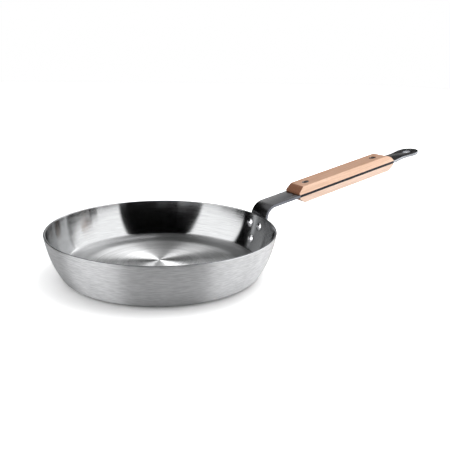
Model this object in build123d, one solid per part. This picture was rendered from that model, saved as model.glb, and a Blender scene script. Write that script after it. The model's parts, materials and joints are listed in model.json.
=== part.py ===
# Omelette pan: a brushed steel pan, a riveted strap handle and a two-piece beech grip.
# Millimetres, +Z up. The origin is the middle of the base, on the surface that the pan stands on.
# The handle points along +X. Nothing moves, so every piece is drawn where it is fixed.
from build123d import *
import os
from math import asin, atan2, cos, degrees, hypot, radians, sin, sqrt, tan

# Pan body, one sheet: flat base, rounded knuckle, and a wall that curves up to the rim.
rim_diameter = 240.0
pan_height = 46.0
wall_thickness = 2.2
base_thickness = 3.5
# How far the rim reaches past the flat of the base, all round.
wall_flare = 22.5
knuckle_radius = 10.0
floor_fillet = 10.0
rim_rounding = 0.8
wall_lean_angle = 30.5

# Handle strap, one flat bar. The sloping run starts above the rim's outer edge.
strap_thickness = 3.0
strap_width = 28.0
strap_over_rim = 9.5
strap_tilt_angle = 12.35
bend_radius = 13.0

# Strap foot, which lies against the outside of the wall.
foot_width = 32.0
foot_shoulder_below_rim = 8.0
foot_end_radius = 9.5
foot_corner_rounding = 12.0
foot_flattens_below_rim = 6.0
foot_gap = 0.1

# Solid rivets that hold the foot to the wall.
pan_rivet_diameter = 5.0
pan_rivet_head_diameter = 9.4
pan_rivet_head_height = 2.2
pan_rivet_tail_diameter = 9.0
pan_rivet_tail_height = 1.6
pan_rivet_spacing = 19.4
high_rivets_below_rim = 11.6
low_rivet_clearance = 0.1
# How much of a head's height is its upright edge, below the dome.
head_edge_share = 0.25

# Beech grip scales, one above the strap and one below.
grip_start = 49.2
grip_length = 150.0
scale_thickness = 8.5
scale_top_width = 24.2
near_bevel = 7.3
near_land = 2.4
near_rounding = 2.5
far_end_radius = 12.5
long_edge_rounding = 1.6

# Tubular rivets through both scales and the strap.
front_rivet_inset = 19.3
rear_rivet_inset = 23.1
grip_rivet_diameter = 6.4
grip_rivet_bore = 4.6
grip_rivet_head_diameter = 8.8
grip_rivet_head_thickness = 1.2
grip_rivet_mouth_rounding = 0.9
grip_rivet_rim_rounding = 0.3
grip_rivet_bore_floor = 4.0
grip_rivet_recess = 0.3

# Strap tail: a straight stretch past the grip, a waist drawn in from both sides, and the round eye.
tail_straight = 5.0
waist_depth = 2.25
waist_to_eye = 18.1
eye_over_width = 1.0
eye_bore_diameter = 10.5

# Fits, and how far a cutter runs past what it cuts.
rivet_hole_clearance = 0.2
counterbore_clearance = 0.3
overrun = 6.0


def on_circle(centre, radius, angle):
    """The point of a circle in a flat drawing, at an angle in degrees from the first axis."""
    return (centre[0] + radius * cos(radians(angle)), centre[1] + radius * sin(radians(angle)))


def arc(centre, radius, start, end):
    """The arc of a circle from one angle to another, in degrees."""
    middle = on_circle(centre, radius, (start + end) / 2)
    return ThreePointArc(on_circle(centre, radius, start), middle, on_circle(centre, radius, end))


def outline(*edges):
    """The flat shape that a closed run of edges bounds."""
    return make_face(Curve() + list(edges))


def pull(plane, sketch, start, end):
    """A sketch in a plane's own axes, pulled along its normal from one height to another."""
    return extrude(plane.offset(start) * sketch, amount=end - start, dir=plane.z_dir)


def crossing(point, angle, other_point, other_angle):
    """Where two lines of a flat drawing meet, each given by a point and its angle in degrees."""
    gap = (other_point[0] - point[0], other_point[1] - point[1])
    across = gap[0] * sin(radians(other_angle)) - gap[1] * cos(radians(other_angle))
    reach = across / sin(radians(other_angle - angle))
    return (point[0] + reach * cos(radians(angle)), point[1] + reach * sin(radians(angle)))


# The wall's curve: an arc that starts along the knuckle's end and reaches the rim's outer edge.
rim_radius = rim_diameter / 2
base_flat_radius = rim_radius - wall_flare
knuckle_centre = (base_flat_radius, knuckle_radius)
knuckle_end_angle = -wall_lean_angle
wall_foot = on_circle(knuckle_centre, knuckle_radius, knuckle_end_angle)
inward = (-cos(radians(wall_lean_angle)), sin(radians(wall_lean_angle)))
climb = (rim_radius - wall_foot[0], pan_height - wall_foot[1])
wall_radius = hypot(*climb) ** 2 / (2 * (climb[0] * inward[0] + climb[1] * inward[1]))
wall_centre = (wall_foot[0] + wall_radius * inward[0], wall_foot[1] + wall_radius * inward[1])
inner_wall_radius = wall_radius - wall_thickness
foot_inner_radius = wall_radius + foot_gap
foot_outer_radius = foot_inner_radius + strap_thickness
foot_curve_top = pan_height - foot_flattens_below_rim
# The low rivet's head just clears the fillet round the floor.
high_rivet_height = pan_height - high_rivets_below_rim
low_rivet_height = base_thickness + floor_fillet + pan_rivet_head_diameter / 2 + low_rivet_clearance


def wall_angle(height, radius):
    """The angle, about the wall's centre, of an arc of this radius where it is at a height."""
    return degrees(asin((height - wall_centre[1]) / radius))


def wall_reach(height, radius):
    """How far from the pan's axis an arc about the wall's centre is at a height."""
    return wall_centre[0] + sqrt(radius**2 - (height - wall_centre[1]) ** 2)


# The strap's own axes: x along the sloping run from the rim line, y across it, z square to it.
tilt = radians(strap_tilt_angle)
strap_plane = Plane(
    origin=(rim_radius, 0, pan_height + strap_over_rim),
    x_dir=(cos(tilt), 0, sin(tilt)),
    z_dir=(-sin(tilt), 0, cos(tilt)),
)
half_strap = strap_thickness / 2
half_width = strap_width / 2
grip_end = grip_start + grip_length
eye_radius = (strap_width + eye_over_width) / 2
half_waist = half_width - waist_depth
# An arc on each side runs from the straight stretch through the waist and on to touch the eye.
waist_radius = (waist_to_eye**2 + half_waist**2 - eye_radius**2) / (2 * (eye_radius - half_waist))
shoulder_to_waist = sqrt(waist_radius**2 - (waist_radius - waist_depth) ** 2)
waist_place = grip_end + tail_straight + shoulder_to_waist
eye_place = waist_place + waist_to_eye
grip_rivet_places = {
    "grip_rivet_front": grip_start + front_rivet_inset,
    "grip_rivet_rear": grip_end - rear_rivet_inset,
}
# The rivets' heads bear on the floor of a counterbore, this far from the strap's middle.
head_seat = half_strap + scale_thickness - grip_rivet_recess - grip_rivet_head_thickness


def side_point(along, above):
    """The side view's (x, z) of a point along the strap and above its middle."""
    point = strap_plane.from_local_coords((along, 0, above))
    return (point.X, point.Z)


def pan_rivet_planes():
    """A plane for each pan rivet, on the inner wall, with its normal pointing into the pan."""
    turn = asin(pan_rivet_spacing / 2 / wall_reach(high_rivet_height, inner_wall_radius))
    places = {
        "pan_rivet_left": (turn, high_rivet_height),
        "pan_rivet_right": (-turn, high_rivet_height),
        "pan_rivet_low": (0, low_rivet_height),
    }
    planes = {}
    for name, (turned, height) in places.items():
        reach = wall_reach(height, inner_wall_radius)
        slope = radians(wall_angle(height, inner_wall_radius))
        planes[name] = Plane(
            origin=(reach * cos(turned), reach * sin(turned), height),
            x_dir=(-sin(turned), cos(turned), 0),
            z_dir=(-cos(slope) * cos(turned), -cos(slope) * sin(turned), -sin(slope)),
        )
    return planes


def cut_pan_rivet_holes(piece):
    """A piece with the three rivet holes through it, along the rivets' own axes."""
    hole = Circle((pan_rivet_diameter + rivet_hole_clearance) / 2)
    depth = wall_thickness + foot_gap + strap_thickness + overrun
    for plane in pan_rivet_planes().values():
        piece -= pull(plane, hole, -depth, overrun)
    return piece


def make_pan_body():
    """The sheet, turned from its section, with a rounded rim and the rivets' holes."""
    rim_angle = wall_angle(pan_height, wall_radius)
    inner_rim_angle = wall_angle(pan_height, inner_wall_radius)
    fillet_height = base_thickness + floor_fillet
    fillet_centre = (wall_reach(fillet_height, inner_wall_radius - floor_fillet), fillet_height)
    fillet_angle = wall_angle(fillet_height, inner_wall_radius - floor_fillet)
    section = outline(
        Line((0, 0), (base_flat_radius, 0)),
        arc(knuckle_centre, knuckle_radius, -90, knuckle_end_angle),
        arc(wall_centre, wall_radius, knuckle_end_angle, rim_angle),
        Line(
            on_circle(wall_centre, wall_radius, rim_angle),
            on_circle(wall_centre, inner_wall_radius, inner_rim_angle),
        ),
        arc(wall_centre, inner_wall_radius, inner_rim_angle, fillet_angle),
        arc(fillet_centre, floor_fillet, fillet_angle, -90),
        Line((fillet_centre[0], base_thickness), (0, base_thickness)),
        Line((0, base_thickness), (0, 0)),
    )
    section = fillet(section.vertices().sort_by(Axis.Y)[-2:], rim_rounding)
    return cut_pan_rivet_holes(revolve(Plane.XZ * section, Axis.Z))


def foot_shell():
    """A band that hugs the outside of the wall, from below the foot to a little below the rim."""
    low = low_rivet_height - foot_end_radius - foot_gap
    spread = degrees(atan2(foot_width, rim_radius))
    section = outline(
        arc(
            wall_centre,
            foot_inner_radius,
            wall_angle(low, foot_inner_radius),
            wall_angle(foot_curve_top, foot_inner_radius),
        ),
        Line(
            (wall_reach(foot_curve_top, foot_inner_radius), foot_curve_top),
            (wall_reach(foot_curve_top, foot_outer_radius), foot_curve_top),
        ),
        arc(
            wall_centre,
            foot_outer_radius,
            wall_angle(foot_curve_top, foot_outer_radius),
            wall_angle(low, foot_outer_radius),
        ),
        Line((wall_reach(low, foot_outer_radius), low), (wall_reach(low, foot_inner_radius), low)),
    )
    return Rot(Z=-spread) * revolve(Plane.XZ * section, Axis.Z, 2 * spread)


def ring_piece(inner, outer, spread):
    """A flat piece of a ring about the pan's axis, spread degrees to each side of the handle."""
    return outline(
        arc((0, 0), inner, -spread, spread),
        Line(on_circle((0, 0), inner, spread), on_circle((0, 0), outer, spread)),
        arc((0, 0), outer, spread, -spread),
        Line(on_circle((0, 0), outer, -spread), on_circle((0, 0), inner, -spread)),
    )


def four_corners(inner, outer, half_depth):
    """A flat rectangle between two distances from the pan's axis."""
    return outline(
        Line((inner, -half_depth), (inner, half_depth)),
        Line((inner, half_depth), (outer, half_depth)),
        Line((outer, half_depth), (outer, -half_depth)),
        Line((outer, -half_depth), (inner, -half_depth)),
    )


def strap_bar():
    """The neck, bend and sloping run as one wide bar, before its outline is cut."""
    neck_lean_angle = -wall_angle(pan_height, foot_inner_radius)
    lean = radians(neck_lean_angle)
    neck_foot = (wall_reach(pan_height, foot_inner_radius), pan_height)
    corner = crossing(neck_foot, 90 - neck_lean_angle, side_point(0, half_strap), strap_tilt_angle)
    outer_bend = bend_radius + strap_thickness
    reach = outer_bend * tan(radians((90 - neck_lean_angle - strap_tilt_angle) / 2))
    bend_start = (corner[0] - reach * sin(lean), corner[1] - reach * cos(lean))
    bend_centre = on_circle(bend_start, outer_bend, -neck_lean_angle)
    start_angle = 180 - neck_lean_angle
    end_angle = 90 + strap_tilt_angle
    # The flat bar starts at a level cut just below the bend.
    cut_height = bend_start[1] - strap_thickness * sin(lean)
    cut_inner = neck_foot[0] + (cut_height - pan_height) * tan(lean)
    cut_outer = cut_inner + strap_thickness / cos(lean)
    bar_section = outline(
        Line((cut_inner, cut_height), bend_start),
        arc(bend_centre, outer_bend, start_angle, end_angle),
        Line(on_circle(bend_centre, outer_bend, end_angle), side_point(grip_end, half_strap)),
        Line(side_point(grip_end, half_strap), side_point(grip_end, -half_strap)),
        Line(side_point(grip_end, -half_strap), on_circle(bend_centre, bend_radius, end_angle)),
        arc(bend_centre, bend_radius, end_angle, start_angle),
        Line((cut_outer, cut_height), (cut_inner, cut_height)),
    )
    bar = extrude(Plane.XZ * bar_section, amount=foot_width, both=True)
    # Between the foot's band and that cut, the curve across the handle flattens out.
    spread = degrees(atan2(foot_width, rim_radius))
    curve_inner = wall_reach(foot_curve_top, foot_inner_radius)
    curve_outer = wall_reach(foot_curve_top, foot_outer_radius)
    curved = Pos(Z=foot_curve_top) * ring_piece(curve_inner, curve_outer, spread)
    half_depth = curve_inner * sin(radians(spread))
    flat = Pos(Z=cut_height) * four_corners(cut_inner, cut_outer, half_depth)
    return bar + loft([curved, flat], ruled=True)


def foot_outline():
    """The strap as seen from the pan's middle: a rounded foot that narrows into the neck."""
    bend_top = pan_height + strap_over_rim + half_strap
    above = pan_height + strap_over_rim + grip_end
    half_foot = foot_width / 2
    shoulder = pan_height - foot_shoulder_below_rim
    low_centre = (0, low_rivet_height)
    drop = shoulder - low_centre[1]
    from_centre = hypot(half_foot, drop)
    side = sqrt(from_centre**2 - foot_end_radius**2)
    touch_angle = degrees(atan2(drop, half_foot) - atan2(side, foot_end_radius))
    touch = on_circle(low_centre, foot_end_radius, touch_angle)
    right_side = [
        Line((half_width, above), (half_width, bend_top)),
        Line((half_width, bend_top), (half_foot, shoulder)),
        Line((half_foot, shoulder), touch),
    ]
    left_side = [
        Line((-touch[0], touch[1]), (-half_foot, shoulder)),
        Line((-half_foot, shoulder), (-half_width, bend_top)),
        Line((-half_width, bend_top), (-half_width, above)),
    ]
    low_end = arc(low_centre, foot_end_radius, touch_angle, -180 - touch_angle)
    top_end = Line((-half_width, above), (half_width, above))
    shape = outline(*right_side, low_end, *left_side, top_end)
    corners = [v for v in shape.vertices() if shoulder - foot_gap < v.Y < bend_top + foot_gap]
    shape = fillet(corners, foot_corner_rounding)
    return pull(Plane.YZ, shape, base_flat_radius, rim_radius + grip_end)


def tail_shape():
    """The tail seen square to the strap: straight sides, a waist and the round eye."""
    waist_offset = half_waist + waist_radius
    shoulder_angle = degrees(atan2(waist_radius - waist_depth, shoulder_to_waist)) - 180
    touch_angle = degrees(atan2(waist_offset, -waist_to_eye))
    shoulder = (grip_end + tail_straight, half_width)
    start = (grip_end - half_strap, half_width)
    return outline(
        Line(start, shoulder),
        arc((waist_place, waist_offset), waist_radius, shoulder_angle, touch_angle - 180),
        arc((eye_place, 0), eye_radius, touch_angle, -touch_angle),
        arc((waist_place, -waist_offset), waist_radius, 180 - touch_angle, -shoulder_angle),
        Line((shoulder[0], -half_width), (start[0], -half_width)),
        Line((start[0], -half_width), start),
    )


def make_handle_strap():
    """The whole bar, cut to its outline, with its six holes."""
    strap = (strap_bar() + foot_shell()) & foot_outline()
    strap += pull(strap_plane, tail_shape(), -half_strap, half_strap)
    bores = Pos(eye_place, 0) * Circle(eye_bore_diameter / 2)
    for place in grip_rivet_places.values():
        bores += Pos(place, 0) * Circle((grip_rivet_diameter + rivet_hole_clearance) / 2)
    strap -= pull(strap_plane, bores, -strap_thickness, strap_thickness)
    return cut_pan_rivet_holes(strap)


def dome(radius, height):
    """A low rivet head on the ground plane: a short upright edge and a slice of a ball."""
    edge = height * head_edge_share
    crown = height - edge
    ball_radius = (radius**2 + crown**2) / (2 * crown)
    ball_centre = (0, height - ball_radius)
    section = outline(
        Line((0, 0), (radius, 0)),
        Line((radius, 0), (radius, edge)),
        arc(ball_centre, ball_radius, degrees(atan2(edge - ball_centre[1], radius)), 90),
        Line((0, height), (0, 0)),
    )
    return revolve(Plane.XZ * section, Axis.Z)


def make_pan_rivet(plane):
    """A solid rivet: a domed head inside the pan, a shank, and a flatter head on the strap."""
    head_radius = pan_rivet_head_diameter / 2
    # The flat underside of the head touches the hollow wall along its edge.
    seat = inner_wall_radius - sqrt(inner_wall_radius**2 - head_radius**2)
    back = wall_thickness + foot_gap + strap_thickness
    head = Pos(Z=seat) * dome(head_radius, pan_rivet_head_height)
    tail = Pos(Z=-back) * Rot(X=180) * dome(pan_rivet_tail_diameter / 2, pan_rivet_tail_height)
    shank = pull(Plane.XY, Circle(pan_rivet_diameter / 2), -back, seat)
    return plane.location * (head + shank + tail)


def make_upper_scale():
    """The wood above the strap, in the strap's own axes, with its counterbored rivet holes."""
    top = half_strap + scale_thickness
    half_top = scale_top_width / 2
    across = outline(
        Line((-half_width, half_strap), (half_width, half_strap)),
        Line((half_width, half_strap), (half_top, top)),
        Line((half_top, top), (-half_top, top)),
        Line((-half_top, top), (-half_width, half_strap)),
    )
    across = fillet(across.vertices().sort_by(Axis.Y)[-2:], long_edge_rounding)
    far_top = grip_end - sqrt(2 * far_end_radius * scale_thickness - scale_thickness**2)
    far_centre = (far_top, top - far_end_radius)
    far_angle = degrees(asin((far_end_radius - scale_thickness) / far_end_radius))
    near_top = (grip_start + near_bevel, top)
    near_low = (grip_start, half_strap + near_land)
    along = outline(
        Line((grip_end, half_strap), (grip_start, half_strap)),
        Line((grip_start, half_strap), near_low),
        Line(near_low, near_top),
        Line(near_top, (far_top, top)),
        arc(far_centre, far_end_radius, 90, far_angle),
    )
    near_corners = along.vertices().sort_by(Axis.X)[:3].sort_by(Axis.Y)[1:]
    along = fillet(near_corners, near_rounding)
    scale = pull(Plane.YZ, across, grip_start - overrun, grip_end + overrun)
    scale &= extrude(Plane.XZ * along, amount=strap_width, both=True)
    hole = Circle((grip_rivet_diameter + rivet_hole_clearance) / 2)
    counterbore = Circle((grip_rivet_head_diameter + counterbore_clearance) / 2)
    for place in grip_rivet_places.values():
        scale -= pull(Plane.XY, Pos(place, 0) * hole, 0, top + overrun)
        scale -= pull(Plane.XY, Pos(place, 0) * counterbore, head_seat, top + overrun)
    return scale


def make_grip_rivet(place):
    """A tubular rivet in the strap's own axes: a rolled mouth above, a closed head below."""
    head_radius = grip_rivet_head_diameter / 2
    radius = grip_rivet_diameter / 2
    bore_radius = grip_rivet_bore / 2
    end = head_seat + grip_rivet_head_thickness
    bore_floor = grip_rivet_bore_floor - head_seat
    corners = [
        (0, -end),
        (head_radius, -end),
        (head_radius, -head_seat),
        (radius, -head_seat),
        (radius, head_seat),
        (head_radius, head_seat),
        (head_radius, end),
        (bore_radius, end),
        (bore_radius, bore_floor),
        (0, bore_floor),
    ]
    section = make_face(Polyline(*corners, close=True))
    rims = section.vertices().sort_by(Axis.X)[-4:].sort_by(Axis.Y)
    section = fillet([rims[0], rims[-1]], grip_rivet_rim_rounding)
    mouth = section.vertices().sort_by(Axis.Y)[-2:].sort_by(Axis.X)[0]
    section = fillet(mouth, grip_rivet_mouth_rounding)
    return Pos(place, 0, 0) * revolve(Plane.XZ * section, Axis.Z)


def make_all():
    """Every piece by its name, in its place."""
    upper = make_upper_scale()
    pieces = {
        "pan_body": make_pan_body(),
        "handle_strap": make_handle_strap(),
        "grip_scale_upper": strap_plane.location * upper,
        "grip_scale_lower": strap_plane.location * mirror(upper, Plane.XY),
    }
    for name, plane in pan_rivet_planes().items():
        pieces[name] = make_pan_rivet(plane)
    for name, place in grip_rivet_places.items():
        pieces[name] = strap_plane.location * make_grip_rivet(place)
    return pieces


os.makedirs("parts", exist_ok=True)
for name, piece in make_all().items():
    piece.label = name
    export_step(piece, f"parts/{name}.step")
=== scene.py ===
# Looks for the omelette pan: spun and brushed steel, a dark steel strap handle, a beech grip and rivets.
# Metres, +Z up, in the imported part's own frame: the pan's axis is the Z axis and the handle points along +X.
import json
from math import asin, cos, degrees, hypot, pi, radians, sin, sqrt

import bpy
from mathutils import Matrix, Vector

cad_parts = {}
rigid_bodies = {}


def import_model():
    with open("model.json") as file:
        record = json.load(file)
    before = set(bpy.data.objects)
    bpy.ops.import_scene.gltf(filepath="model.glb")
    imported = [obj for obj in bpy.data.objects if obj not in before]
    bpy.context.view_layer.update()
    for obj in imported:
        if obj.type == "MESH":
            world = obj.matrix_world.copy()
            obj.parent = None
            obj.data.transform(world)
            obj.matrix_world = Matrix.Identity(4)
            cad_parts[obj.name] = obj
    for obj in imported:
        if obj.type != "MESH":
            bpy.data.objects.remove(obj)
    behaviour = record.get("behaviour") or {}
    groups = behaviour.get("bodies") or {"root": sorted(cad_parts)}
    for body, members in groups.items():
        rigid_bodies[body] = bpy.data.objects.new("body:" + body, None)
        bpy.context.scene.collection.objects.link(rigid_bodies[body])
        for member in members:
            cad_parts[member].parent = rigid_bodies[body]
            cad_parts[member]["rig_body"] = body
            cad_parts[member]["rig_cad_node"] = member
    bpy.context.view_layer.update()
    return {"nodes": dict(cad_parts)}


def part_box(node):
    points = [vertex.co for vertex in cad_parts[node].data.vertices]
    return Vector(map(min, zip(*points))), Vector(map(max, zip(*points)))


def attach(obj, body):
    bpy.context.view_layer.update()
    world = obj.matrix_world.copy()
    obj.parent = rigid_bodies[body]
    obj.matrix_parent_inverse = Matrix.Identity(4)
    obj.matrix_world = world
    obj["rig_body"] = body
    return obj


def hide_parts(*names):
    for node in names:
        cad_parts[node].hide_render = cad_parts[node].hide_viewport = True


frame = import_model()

MM = 0.001

# The pan body's section.
pan_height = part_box("pan_body")[1].z
rim_radius = 120 * MM
wall_thickness = 2.2 * MM
base_thickness = 3.5 * MM
wall_flare = 22.5 * MM
knuckle_radius = 10 * MM
floor_fillet = 10 * MM
rim_rounding = 0.8 * MM
wall_lean_degrees = 30.5
floor_hub = (3.4 * MM, 18.1 * MM, 0)
# The spun mesh is this much smaller in radius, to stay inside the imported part's box.
hair = 0.012 * MM

# The strap's sloping run and the beech grip on it.
strap_thickness = 3 * MM
strap_width = 28 * MM
strap_over_rim = 9.5 * MM
strap_tilt = radians(12.35)
strap_up = (-sin(strap_tilt), 0, cos(strap_tilt))
strap_panwards = (-cos(strap_tilt), 0, -sin(strap_tilt))
strap_edge_rounding = 0.35 * MM
grip_start = 49.2 * MM
grip_length = 150 * MM
scale_thickness = 8.5 * MM
scale_top_width = 24.2 * MM
near_bevel = 7.3 * MM
near_land = 2.4 * MM
far_end_radius = 12.5 * MM
scale_edge_rounding = 0.9 * MM
grip_rivet_places = (68.5 * MM, 176.1 * MM)
grip_rivet_hole = 6.6 * MM
grip_rivet_counterbore = 9.1 * MM
grip_rivet_seat = 8.5 * MM
# The cutters of the rivets' holes stand out of the beech by this much.
cutter_margin = 2.5 * MM

# The photograph's camera, found from the rim's outline: measured from the pan's axis, in the
# upright plane through it and the camera, which the handle's direction is turned from.
handle_turn = radians(23.1)
camera_distance = 554.7 * MM
camera_height = 207.4 * MM
camera_pitch = radians(15.97)
camera_yaw = radians(6.79)
camera_roll = radians(1.44)
lens_mm = 43.65
sensor_mm = 36


def polar(centre, radius, angle):
    """The point of a flat circle at an angle in degrees."""
    return (centre[0] + radius * cos(radians(angle)), centre[1] + radius * sin(radians(angle)))


def arc(centre, radius, start, end, steps):
    """Points along a flat arc, both ends included."""
    return [polar(centre, radius, start + (end - start) * i / steps) for i in range(steps + 1)]


def only(piece):
    """Deselects everything else and makes this piece the active one."""
    bpy.ops.object.select_all(action="DESELECT")
    piece.select_set(True)
    bpy.context.view_layer.objects.active = piece


def new_piece(name, points, edges=(), faces=()):
    """A new mesh object at the origin."""
    mesh = bpy.data.meshes.new(name)
    mesh.from_pydata([tuple(p) for p in points], list(edges), list(faces))
    piece = bpy.data.objects.new(name, mesh)
    bpy.context.scene.collection.objects.link(piece)
    only(piece)
    return piece


def smooth_by(piece, angle):
    """Smooth shading, with edges sharper than the angle kept sharp."""
    only(piece)
    bpy.ops.object.shade_smooth_by_angle(angle=radians(angle))


def turned(name, section, steps):
    """A piece spun round the upright axis from its section of (reach, height) points."""
    points = [(max(reach - hair, 0), 0, height) for reach, height in section]
    piece = new_piece(name, points, [(i, i + 1) for i in range(len(points) - 1)])
    bpy.ops.object.mode_set(mode="EDIT")
    bpy.ops.mesh.select_all(action="SELECT")
    bpy.ops.mesh.spin(steps=steps, angle=2 * pi, center=(0, 0, 0), axis=(0, 0, 1))
    bpy.ops.mesh.select_all(action="SELECT")
    bpy.ops.mesh.remove_doubles(threshold=0.001 * MM)
    bpy.ops.mesh.normals_make_consistent(inside=False)
    bpy.ops.object.mode_set(mode="OBJECT")
    return piece


def on_strap(along, across, above):
    """A point in the strap's own axes, taken to the part's frame."""
    return (
        rim_radius + along * cos(strap_tilt) - above * sin(strap_tilt),
        across,
        pan_height + strap_over_rim + along * sin(strap_tilt) + above * cos(strap_tilt),
    )


def finish_with(piece, kind, **settings):
    """Adds a modifier with these settings and applies it."""
    only(piece)
    modifier = piece.modifiers.new(kind.title(), kind)
    for key, value in settings.items():
        setattr(modifier, key, value)
    bpy.ops.object.modifier_apply(modifier=modifier.name)


def pan_section():
    """The sheet's section, from the middle of the base round the rim to the middle of the floor."""
    flat = rim_radius - wall_flare
    knuckle = (flat, knuckle_radius)
    foot = polar(knuckle, knuckle_radius, -wall_lean_degrees)
    lean = radians(wall_lean_degrees)
    climb = (rim_radius - foot[0], pan_height - foot[1])
    wall_radius = hypot(*climb) ** 2 / (2 * (climb[1] * sin(lean) - climb[0] * cos(lean)))
    centre = (foot[0] - wall_radius * cos(lean), foot[1] + wall_radius * sin(lean))
    inner_radius = wall_radius - wall_thickness

    def angle_at(height, radius):
        return degrees(asin((height - centre[1]) / radius))

    def reach_at(height, radius):
        return centre[0] + sqrt(radius**2 - (height - centre[1]) ** 2)

    # The rim's two rounded edges meet its narrow flat top.
    outer_round = (reach_at(pan_height - rim_rounding, wall_radius) - rim_rounding, pan_height - rim_rounding)
    inner_round = (
        reach_at(pan_height - rim_rounding, inner_radius) + rim_rounding,
        pan_height - rim_rounding,
    )
    fillet_height = base_thickness + floor_fillet
    fillet = (reach_at(fillet_height, inner_radius - floor_fillet), fillet_height)
    fillet_angle = angle_at(fillet_height, inner_radius - floor_fillet)
    rim_outer = angle_at(pan_height - rim_rounding, wall_radius)
    rim_inner = angle_at(pan_height - rim_rounding, inner_radius)
    return (
        [(0, 0)]
        + [(flat * share, 0) for share in (0.25, 0.5, 0.75)]
        + arc(knuckle, knuckle_radius, -90, -wall_lean_degrees, 16)
        + arc(centre, wall_radius, -wall_lean_degrees, rim_outer, 24)[1:]
        + arc(outer_round, rim_rounding, 0, 90, 6)
        + arc(inner_round, rim_rounding, 90, 180, 6)
        + arc(centre, inner_radius, rim_inner, fillet_angle, 24)
        + arc(fillet, floor_fillet, fillet_angle, -90, 16)[1:]
        + [(fillet[0] * share, base_thickness) for share in (0.9, 0.75, 0.5, 0.25, 0.1)]
        + [(0, base_thickness)]
    )


def make_pan_shell():
    """The pan body as one fine spun mesh, so that its long reflections run smoothly."""
    shell = turned("pan_shell", pan_section(), 360)
    smooth_by(shell, 40)
    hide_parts("pan_body")
    return shell


def make_strap():
    """The strap with its sheared edges slightly broken."""
    node = frame["nodes"]["handle_strap"]
    strap = node.copy()
    strap.data = node.data.copy()
    strap.name = "strap_bar"
    strap.parent = None
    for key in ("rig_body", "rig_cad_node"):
        del strap[key]
    bpy.context.scene.collection.objects.link(strap)
    only(strap)
    bpy.ops.mesh.customdata_custom_splitnormals_clear()
    bpy.ops.object.mode_set(mode="EDIT")
    bpy.ops.mesh.select_all(action="SELECT")
    bpy.ops.mesh.remove_doubles(threshold=0.002 * MM)
    bpy.ops.mesh.dissolve_limited(angle_limit=radians(0.4))
    bpy.ops.mesh.normals_make_consistent(inside=False)
    bpy.ops.object.mode_set(mode="OBJECT")
    finish_with(
        strap, "BEVEL", width=strap_edge_rounding, segments=3, limit_method="ANGLE", angle_limit=radians(40)
    )
    smooth_by(strap, 30)
    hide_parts("handle_strap")
    return strap


def scale_outline():
    """One beech scale from the side, as (along, above) points in the strap's axes."""
    low = strap_thickness / 2
    top = low + scale_thickness
    end = grip_start + grip_length
    far_top = end - sqrt(2 * far_end_radius * scale_thickness - scale_thickness**2)
    far_centre = (far_top, top - far_end_radius)
    far_low_angle = degrees(asin((far_end_radius - scale_thickness) / far_end_radius))
    slope = (near_bevel, scale_thickness - near_land)
    return [
        (grip_start, low),
        (grip_start, low + near_land),
        (grip_start + slope[0], low + near_land + slope[1]),
    ] + arc(far_centre, far_end_radius, 90, far_low_angle, 10)


def make_scale(name, side, node):
    """One beech scale: its side outline pulled across, drawn in towards the top, then softened."""
    low = strap_thickness / 2
    top = low + scale_thickness
    run = scale_outline()
    half, half_top = strap_width / 2, scale_top_width / 2

    def half_at(above):
        return half + (half_top - half) * (above - low) / (top - low)

    right = [(a, -half_at(h), h) for a, h in run]
    left = [(a, half_at(h), h) for a, h in run]
    count = len(run)
    faces = [tuple(range(count)), tuple(range(2 * count - 1, count - 1, -1))]
    for i in range(count):
        j = (i + 1) % count
        faces.append((i, i + count, j + count, j))
    piece = new_piece(name, [(a, b, side * h) for a, b, h in right + left], (), faces)
    bpy.ops.object.mode_set(mode="EDIT")
    bpy.ops.mesh.select_all(action="SELECT")
    bpy.ops.mesh.normals_make_consistent(inside=False)
    bpy.ops.object.mode_set(mode="OBJECT")
    for place in grip_rivet_places:
        for hole, depth_from in ((grip_rivet_hole, 0), (grip_rivet_counterbore, grip_rivet_seat)):
            height = top + cutter_margin - depth_from
            bpy.ops.object.select_all(action="DESELECT")
            bpy.ops.mesh.primitive_cylinder_add(
                vertices=64,
                radius=hole / 2,
                depth=height,
                location=(place, 0, side * (depth_from + height / 2)),
            )
            cutter = bpy.context.active_object
            finish_with(piece, "BOOLEAN", object=cutter, operation="DIFFERENCE", solver="EXACT")
            bpy.data.objects.remove(cutter)
    finish_with(
        piece,
        "BEVEL",
        width=scale_edge_rounding,
        segments=4,
        limit_method="ANGLE",
        angle_limit=radians(22),
        material=1,
    )
    frame_of_strap = Matrix.Rotation(-strap_tilt, 4, "Y")
    frame_of_strap.translation = on_strap(0, 0, 0)
    piece.data.transform(frame_of_strap)
    smooth_by(piece, 24)
    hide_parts(node)
    return piece


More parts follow.
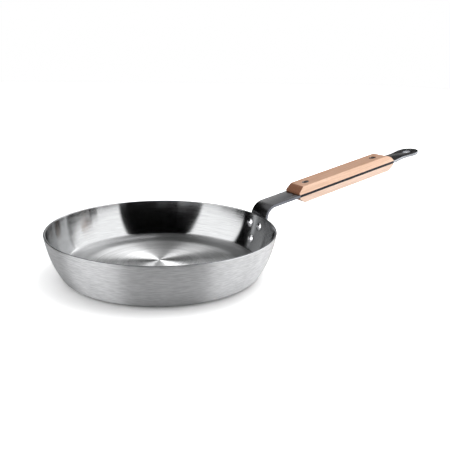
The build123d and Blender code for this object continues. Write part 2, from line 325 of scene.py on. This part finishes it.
class Graph:
    """Adds shader nodes to one node tree, in plain steps."""

    def __init__(self, tree):
        self.tree = tree
        tree.nodes.clear()

    def add(self, kind, inputs=None, **settings):
        made = self.tree.nodes.new(kind)
        for key, value in settings.items():
            setattr(made, key, value)
        for key, value in (inputs or {}).items():
            self.feed(made.inputs[key], value)
        return made

    def feed(self, socket, value):
        """Links a value into a socket, or sets it there when it is a plain one."""
        if isinstance(value, bpy.types.NodeSocket):
            self.tree.links.new(value, socket)
        else:
            socket.default_value = value

    def math(self, operation, a, b=0.0, c=0.0):
        made = self.add("ShaderNodeMath", operation=operation)
        for socket, value in zip(made.inputs, (a, b, c)):
            self.feed(socket, value)
        return made.outputs[0]

    def vector(self, operation, a, b=(0, 0, 0)):
        made = self.add("ShaderNodeVectorMath", operation=operation)
        self.feed(made.inputs[0], a)
        self.feed(made.inputs[1], b)
        return made.outputs["Value" if operation in ("LENGTH", "DOT_PRODUCT") else "Vector"]

    def scaled(self, vector, factor):
        """A vector times one number."""
        made = self.add("ShaderNodeVectorMath", operation="SCALE")
        self.feed(made.inputs[0], vector)
        self.feed(made.inputs["Scale"], factor)
        return made.outputs[0]

    def step(self, value, low, high, start=0.0, end=1.0):
        """Goes smoothly from start to end as value goes from low to high."""
        made = self.add(
            "ShaderNodeMapRange",
            {"Value": value, "From Min": low, "From Max": high, "To Min": start, "To Max": end},
            interpolation_type="SMOOTHSTEP",
        )
        return made.outputs["Result"]

    def weighted(self, parts):
        """The sum of values, each times its own weight."""
        total = 0.0
        for value, weight in parts:
            total = self.math("MULTIPLY_ADD", value, weight, total)
        return total

    def towards(self, share, low, high):
        """A number that goes from low to high by the share."""
        return self.math("MULTIPLY_ADD", share, self.math("SUBTRACT", high, low), low)

    def mix(self, share, low, high):
        """A colour that goes from low to high by the share."""
        made = self.add("ShaderNodeMix", data_type="RGBA")
        self.feed(made.inputs[0], share)
        self.feed(made.inputs[6], low)
        self.feed(made.inputs[7], high)
        return made.outputs[2]

    def noise(self, vector, scale, detail):
        made = self.add("ShaderNodeTexNoise", {"Vector": vector, "Scale": scale, "Detail": detail})
        return made.outputs["Fac"]

    def combine(self, x, y, z):
        return self.add("ShaderNodeCombineXYZ", {"X": x, "Y": y, "Z": z}).outputs[0]

    def split(self, vector):
        made = self.add("ShaderNodeSeparateXYZ", {"Vector": vector})
        return made.outputs[0], made.outputs[1], made.outputs[2]


def new_material(name):
    """A node material, with its graph, its Principled shader and its output."""
    material = bpy.data.materials.new(name)
    material.use_nodes = True
    graph = Graph(material.node_tree)
    shader = graph.add("ShaderNodeBsdfPrincipled")
    output = graph.add("ShaderNodeOutputMaterial")
    graph.tree.links.new(shader.outputs[0], output.inputs["Surface"])
    return material, graph, shader


def pan_steel():
    """Steel brushed in rings: the strokes run round the pan's axis on wall and floor alike."""
    # Where the floor ends, where the round beside it lies, and the bearings in degrees between which
    # the wall inside is painted darker beside the handle's rivets, a painted shade: each fades over the pair
    # given.
    floor_reach = (74 * MM, 92 * MM)
    round_reach, round_height = (80 * MM, 90 * MM), (6 * MM, 9 * MM)
    painted_shade_from, painted_shade_to = (-75.0, -50.0), (-3.0, 2.0)
    # Each pair of colours runs from the darkest stroke to the lightest. The inside wall's pair is darker than
    # the outside's on the same steel: painted shade.
    inside_pair_painted_darker = ((0.39, 0.395, 0.4, 1), (0.47, 0.475, 0.48, 1))
    outside_pair = ((0.54, 0.545, 0.555, 1), (0.72, 0.725, 0.735, 1))
    # Painted highlight: the floor's lighter pair round the hub.
    floor_hub_painted_highlight_pair = ((0.74, 0.745, 0.75, 1), (0.94, 0.945, 0.95, 1))
    floor_outer_pair = ((0.46, 0.464, 0.468, 1), (0.6, 0.605, 0.61, 1))
    # Painted shade for the inside wall beside the rivets.
    painted_shade_by_rivets = (0.155, 0.157, 0.16, 1)
    knuckle_painted_shade = (0.3, 0.302, 0.31, 1)
    round_painted_shade = (0.25, 0.252, 0.256, 1)
    rim_grey = (0.13, 0.137, 0.15, 1)

    material, g, shader = new_material("pan_brushed_steel")
    x, y, z = g.split(g.add("ShaderNodeTexCoord").outputs["Object"])
    flat = g.combine(x, y, 0.0)
    reach = g.vector("LENGTH", flat)
    normal = g.add("ShaderNodeNewGeometry").outputs["Normal"]
    outside = g.step(g.vector("DOT_PRODUCT", normal, g.vector("NORMALIZE", flat)), 0.02, 0.1)
    on_floor = g.step(reach, *floor_reach, 1.0, 0.0)

    # The floor's strokes turn about a hub that lies a little behind the pan's axis.
    hub = g.scaled(floor_hub, g.step(reach, 0.0, 90 * MM, 1.0, 0.0))
    spoke = g.vector("SUBTRACT", flat, hub)
    from_hub = g.vector("LENGTH", spoke)
    turn = g.vector("NORMALIZE", spoke)
    turn_x, turn_y, _ = g.split(turn)
    travel = g.math("ADD", from_hub, z)

    def strokes(turns, per_metre):
        """Noise drawn out along the brushing: the more turns, the shorter its strokes."""
        ring_x, ring_y, _ = g.split(g.scaled(turn, turns))
        return g.noise(g.combine(ring_x, ring_y, g.math("MULTIPLY", travel, per_metre)), 1.0, 1.0)

    # The outside is brushed in much shorter strokes, and the floor shows faint rings.
    long_strokes = g.weighted(((strokes(7.0, 2200.0), 0.6), (strokes(4.0, 900.0), 0.4)))
    short_strokes = g.weighted(((strokes(14.0, 1100.0), 0.65), (long_strokes, 0.35)))
    rings = g.noise(g.combine(0.5, 0.5, g.math("MULTIPLY", travel, 420.0)), 1.0, 1.0)
    ringed = g.math("MULTIPLY", on_floor, g.math("MULTIPLY_ADD", rings, 0.5, -0.25))
    worked = g.math("ADD", g.towards(outside, long_strokes, short_strokes), ringed)
    tone = g.step(worked, 0.34, 0.66)

    bearing = g.math("DEGREES", g.math("ARCTAN2", turn_y, turn_x))
    # The inside wall is painted near black in this sector beside the rivets: painted shade.
    painted_shade_sector = g.math("MULTIPLY", g.step(bearing, *painted_shade_from), g.step(bearing, *painted_shade_to, 1.0, 0.0))
    inside_wall = g.mix(painted_shade_sector, g.mix(tone, *inside_pair_painted_darker), painted_shade_by_rivets)
    # The knuckle is painted darker just above the table: painted shade of the contact shadow it mirrors.
    outside_wall = g.mix(g.step(z, 0.0, 4 * MM), knuckle_painted_shade, g.mix(tone, *outside_pair))
    wall = g.mix(outside, inside_wall, outside_wall)
    # The floor is painted much lighter round the hub than further out: a painted highlight where the
    # brushing's star shines.
    outward = g.step(from_hub, 12 * MM, 80 * MM)
    floor = g.mix(outward, g.mix(tone, *floor_hub_painted_highlight_pair), g.mix(tone, *floor_outer_pair))
    # The round between floor and wall is duller than both, and painted a darker grey than both: painted shade.
    in_round = g.math("MULTIPLY", g.step(reach, *round_reach), g.step(z, *round_height, 1.0, 0.0))
    in_round = g.math("MULTIPLY", in_round, g.math("SUBTRACT", 1.0, outside))
    cornered = g.mix(in_round, g.mix(on_floor, wall, floor), round_painted_shade)
    # The rim's narrow top is sheared, not brushed, and darker.
    near_top = g.step(z, pan_height - 0.5 * MM, pan_height - 0.1 * MM)
    sheared = g.math("MULTIPLY", near_top, g.step(g.split(normal)[2], 0.75, 0.95))
    g.feed(shader.inputs["Base Color"], g.mix(sheared, cornered, rim_grey))
    shader.inputs["Metallic"].default_value = 1.0
    shader.inputs["Anisotropic"].default_value = 1.0
    shader.inputs["Anisotropic Rotation"].default_value = 0.25

    # The wall is finest inside. Its outside, the floor and the round between them are coarser.
    roughness = g.weighted(((1.0, 0.1), (on_floor, 0.46), (outside, 0.36), (in_round, 0.2), (tone, 0.04)))
    g.feed(shader.inputs["Roughness"], roughness)
    g.feed(shader.inputs["Tangent"], g.combine(g.math("MULTIPLY", turn_y, -1.0), turn_x, 0.0))
    bump = g.add("ShaderNodeBump", {"Strength": 0.012, "Distance": 0.03 * MM, "Height": long_strokes})
    g.feed(shader.inputs["Normal"], bump.outputs[0])
    return material


def strap_steel():
    """Dark satin steel, lighter where its sheared edges lie bare, ahead of the grip and behind it. Between the
    scales its edges are painted near black, a painted shade.
    """
    dark_pair = ((0.07, 0.07, 0.074, 1), (0.12, 0.12, 0.126, 1))
    bare_pair = ((0.15, 0.157, 0.178, 1), (0.25, 0.26, 0.29, 1))
    tail_edge = (0.4, 0.415, 0.44, 1)
    held_edge_painted_shade = (0.035, 0.036, 0.041, 1)
    grain_per_metre = (60, 900, 900)

    material, g, shader = new_material("strap_dark_steel")
    place = g.add("ShaderNodeTexCoord").outputs["Object"]
    normal = g.add("ShaderNodeNewGeometry").outputs["Normal"]
    along = g.split(place)[0]
    grip_from = on_strap(grip_start, 0, 0)[0]
    grip_to = on_strap(grip_start + grip_length, 0, 0)[0]
    behind = g.step(along, grip_to - MM, grip_to)
    held = g.math("SUBTRACT", g.step(along, grip_from, grip_from + MM), behind)
    # The tail's edges and its eye face every way across the strap.
    flatness = g.math("ABSOLUTE", g.vector("DOT_PRODUCT", normal, strap_up))
    cut = g.math("MULTIPLY", behind, g.step(flatness, 0.5, 0.8, 1.0, 0.0))
    sideways = g.step(g.math("ABSOLUTE", g.split(normal)[1]), 0.55, 0.85)
    edge = g.math("MAXIMUM", sideways, cut)
    # Along the grip the edges are painted near black: painted shade in the gaps between the beech scales.
    held_edge_shaded = g.math("MULTIPLY", edge, held)
    bare = g.math("SUBTRACT", edge, held_edge_shaded)
    grain = g.noise(g.vector("MULTIPLY", place, grain_per_metre), 1.0, 3.0)
    light = g.mix(behind, g.mix(grain, *bare_pair), tail_edge)
    colour = g.mix(held_edge_shaded, g.mix(bare, g.mix(grain, *dark_pair), light), held_edge_painted_shade)
    g.feed(shader.inputs["Base Color"], colour)
    shader.inputs["Metallic"].default_value = 1.0
    g.feed(shader.inputs["Roughness"], g.math("MULTIPLY_ADD", grain, 0.08, 0.2))
    return material


def rivet_steel(name, colour):
    """Polished steel with a faint unevenness."""
    darkest_share = 0.85
    material, g, shader = new_material(name)
    cloud = g.noise(g.add("ShaderNodeTexCoord").outputs["Object"], 900.0, 3.0)
    shade = [c * darkest_share for c in colour]
    g.feed(shader.inputs["Base Color"], g.mix(cloud, (*shade, 1), (*colour, 1)))
    shader.inputs["Metallic"].default_value = 1.0
    g.feed(shader.inputs["Roughness"], g.math("MULTIPLY_ADD", cloud, 0.06, 0.1))
    return material


def beech(name, tint):
    """Oiled beech: fine grain and short flecks that run along the grip."""
    low = [c * t for c, t in zip((0.70, 0.44, 0.30), tint)]
    high = [c * t for c, t in zip((0.88, 0.61, 0.46), tint)]
    fleck_colour = (*[c * 0.6 for c in low], 1)
    broad_face_painted_shade = (0.67, 0.585, 0.53)
    end_grain_and_painted_shade_pair = ((0.155, 0.06, 0.028, 1), (0.24, 0.105, 0.055, 1))
    pores_per_metre = (1500, 1500, 1500)

    material, g, shader = new_material(name)
    place = g.add("ShaderNodeTexCoord").outputs["Object"]
    normal = g.add("ShaderNodeNewGeometry").outputs["Normal"]
    turned_place = g.add("ShaderNodeMapping", {"Vector": place, "Rotation": (0, strap_tilt, 0)}).outputs[0]

    def streaks(along, across, detail):
        """Noise drawn out along the grip, by its scale along it and across it."""
        return g.noise(g.vector("MULTIPLY", turned_place, (along, across, across)), 1.0, detail)

    tone = g.weighted(((streaks(40, 900, 3.0), 0.55), (streaks(9, 120, 2.0), 0.45)))
    colour = g.mix(g.step(tone, 0.3, 0.7), (*low, 1), (*high, 1))
    flecked = g.mix(g.step(streaks(260, 2400, 1.0), 0.62, 0.75, 0.0, 0.45), colour, fleck_colour)
    # The broad faces are painted a deeper brown than the sides: painted shade, as they take less light than
    # the sides.
    upright = g.math("ABSOLUTE", g.vector("DOT_PRODUCT", normal, strap_up))
    faced = g.mix(g.step(upright, 0.8, 0.95), flecked, g.vector("MULTIPLY", flecked, broad_face_painted_shade))
    # The end grain towards the pan is much browner: partly its own colour, as it drinks the oil, and partly
    # painted shade on a face turned from the light.
    facing = g.vector("DOT_PRODUCT", normal, strap_panwards)
    pores = g.noise(g.vector("MULTIPLY", place, pores_per_metre), 1.0, 2.0)
    end_tone = g.mix(g.step(pores, 0.35, 0.65), *end_grain_and_painted_shade_pair)
    g.feed(shader.inputs["Base Color"], g.mix(g.step(facing, 0.5, 0.62), faced, end_tone))
    shader.inputs["Roughness"].default_value = 0.5
    shader.inputs["Specular IOR Level"].default_value = 0.35
    bump = g.add("ShaderNodeBump", {"Strength": 0.3, "Distance": 0.05 * MM, "Height": tone})
    g.feed(shader.inputs["Normal"], bump.outputs[0])
    return material


def dress(piece, *materials):
    """Gives a piece these material slots, in order."""
    while len(piece.data.materials) < len(materials):
        piece.data.materials.append(None)
    for i, material in enumerate(materials):
        piece.material_slots[i].material = material


def ground():
    """The white table: it shows white to the camera and keeps the pan's soft shadow, darkened further round
    the pan by a painted contact shade.
    """
    plain_white = 0.85
    more_in_mirrors = 0.22
    more_to_camera = 0.95
    contact_reach = 28 * MM
    contact_strength = 0.45
    # The painted contact shade, from an ambient occlusion node, leans towards the front, as under a light from
    # behind.
    lean = (1.4 * sin(handle_turn), 1.4 * cos(handle_turn), 1.0)

    bpy.ops.object.select_all(action="DESELECT")
    bpy.ops.mesh.primitive_plane_add(size=12.0)
    table = bpy.context.active_object
    table.name = "table_top"
    material, g, shader = new_material("table_white")
    g.tree.nodes.remove(shader)
    cloth = g.add("ShaderNodeBsdfDiffuse")
    painted_contact_shade = g.add(
        "ShaderNodeAmbientOcclusion",
        {"Distance": contact_reach, "Normal": g.vector("NORMALIZE", lean)},
        samples=16,
    )
    path = g.add("ShaderNodeLightPath")
    mirror_ray = g.math("MAXIMUM", path.outputs["Is Glossy Ray"], path.outputs["Is Transmission Ray"])
    camera_ray = path.outputs["Is Camera Ray"]
    white = g.weighted(((1.0, plain_white), (mirror_ray, more_in_mirrors), (camera_ray, more_to_camera)))
    shade = g.math("MULTIPLY", white, g.math("POWER", painted_contact_shade.outputs["AO"], contact_strength))
    g.feed(cloth.inputs["Color"], g.combine(shade, shade, shade))
    surface = next(n for n in g.tree.nodes if n.type == "OUTPUT_MATERIAL")
    g.tree.links.new(cloth.outputs[0], surface.inputs["Surface"])
    dress(table, material)


def studio():
    """The room's light: panels to the left, to the right and at the back, and a dark gap in front."""
    past_the_seam = 400

    world = bpy.data.worlds.new("studio")
    bpy.context.scene.world = world
    world.use_nodes = True
    g = Graph(world.node_tree)
    ray = g.add("ShaderNodeTexCoord").outputs["Generated"]
    turn = g.add("ShaderNodeMapping", {"Vector": ray, "Rotation": (0, 0, handle_turn)})
    rx, ry, rz = g.split(turn.outputs[0])
    level = g.vector("LENGTH", g.combine(rx, ry, 0.0))
    height = g.math("DEGREES", g.math("ARCTAN2", rz, level))
    # Azimuths are in degrees from the camera's side, growing to the left, with their seam at the back.
    azimuth = g.math("DEGREES", g.math("ARCTAN2", rx, g.math("MULTIPLY", ry, -1.0)))

    def window(right, left, low, high, edge=4.0, lean=0.0):
        """A panel between two azimuths and two heights, with soft edges. Its far azimuth may lean."""
        leaned = g.math("MULTIPLY_ADD", height, -lean, azimuth)
        near = g.step(azimuth, right - edge, right + edge)
        far = g.step(leaned, left - edge, left + edge, 1.0, 0.0)
        bottom = g.step(height, low - edge, low + edge)
        top = g.step(height, high - edge, high + edge, 1.0, 0.0)
        return g.math("MULTIPLY", g.math("MULTIPLY", near, far), g.math("MULTIPLY", bottom, top))

    def back(near, far, low, high, edge):
        """A panel at the back, across the seam."""
        first = window(near, past_the_seam, low, high, edge)
        return g.math("ADD", first, window(-past_the_seam, far, low, high, edge))

    # What the steel mirrors, as panels with their strengths.
    mirrored = g.weighted((
        (window(-101, -46, 3, 54, 2, 0.2), 2.0),
        (window(-88, -46, -10, 3, 2), 2.0),
        (window(48.5, 122, 2, 60, 2), 2.0),
        (window(68, 122, -10, 2, 2), 2.0),
        (window(122, 146, 14, 74), 3.5),
        (window(146, 168, 42, 80), 4.0),
        (window(122, 165, -8, 14), 0.9),
        (window(-163, -103, 36, 70), 0.9),
        (back(165, -165, -8, 14, 4), 1.0),
        (back(170, -168, 14, 34, 3), 0.95),
        (back(170, -168, 34, 70, 3), 1.0),
        (g.step(height, 66, 76), 0.4),
    ))
    # What lights the wood and the table: broad and mostly from the front, so that upright faces are
    # brightest, with a little from everywhere.
    soft = g.weighted((
        (window(-60, 60, -12, 30), 2.0),
        (window(-101, -60, -10, 45), 1.5),
        (window(60, 122, -10, 45), 1.5),
        (1.0, 0.25),
    ))
    path = g.add("ShaderNodeLightPath")
    lit = g.towards(path.outputs["Is Diffuse Ray"], mirrored, soft)
    strength = g.towards(path.outputs["Is Camera Ray"], lit, 1.0)
    background = g.add("ShaderNodeBackground", {"Color": (1, 1, 1, 1), "Strength": strength})
    output = g.add("ShaderNodeOutputWorld")
    g.tree.links.new(background.outputs[0], output.inputs["Surface"])


def camera():
    """The photograph's camera."""
    data = bpy.data.cameras.new("camera")
    data.lens = lens_mm
    data.sensor_width = sensor_mm
    data.clip_start = 10 * MM
    eye = bpy.data.objects.new("camera", data)
    bpy.context.scene.collection.objects.link(eye)
    right = -camera_distance * sin(handle_turn)
    front = -camera_distance * cos(handle_turn)
    eye.matrix_world = (
        Matrix.Translation(Vector((right, front, camera_height)))
        @ Matrix.Rotation(-camera_yaw - handle_turn, 4, "Z")
        @ Matrix.Rotation(pi / 2 - camera_pitch, 4, "X")
        @ Matrix.Rotation(camera_roll, 4, "Z")
    )
    bpy.context.scene.camera = eye


pan_shell = make_pan_shell()
strap_bar = make_strap()
grip_top = make_scale("grip_top", 1, "grip_scale_upper")
grip_bottom = make_scale("grip_bottom", -1, "grip_scale_lower")

dress(pan_shell, pan_steel())
dress(strap_bar, strap_steel())
beech_face = beech("beech_oiled", (1, 1, 1))
beech_pale = beech("beech_pale", (1.02, 1.13, 1.25))
beech_edge = beech("beech_edge", (0.92, 0.72, 0.57))
dress(grip_top, beech_face, beech_edge)
dress(grip_bottom, beech_pale, beech_pale)
for piece in (pan_shell, strap_bar, grip_top, grip_bottom):
    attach(piece, "root")
pan_rivet = rivet_steel("pan_rivet_polished", (0.8, 0.8, 0.82))
# The grip rivets' near-black colour is painted shade: it stands in for the dark room their polished heads
# mirror.
grip_rivet = rivet_steel("grip_rivet_painted_dark", (0.12, 0.12, 0.125))
for name, node in frame["nodes"].items():
    if name.startswith("pan_rivet"):
        dress(node, pan_rivet)
    if name.startswith("grip_rivet"):
        dress(node, grip_rivet)

ground()
studio()
camera()
bpy.context.scene.view_settings.view_transform = "Standard"
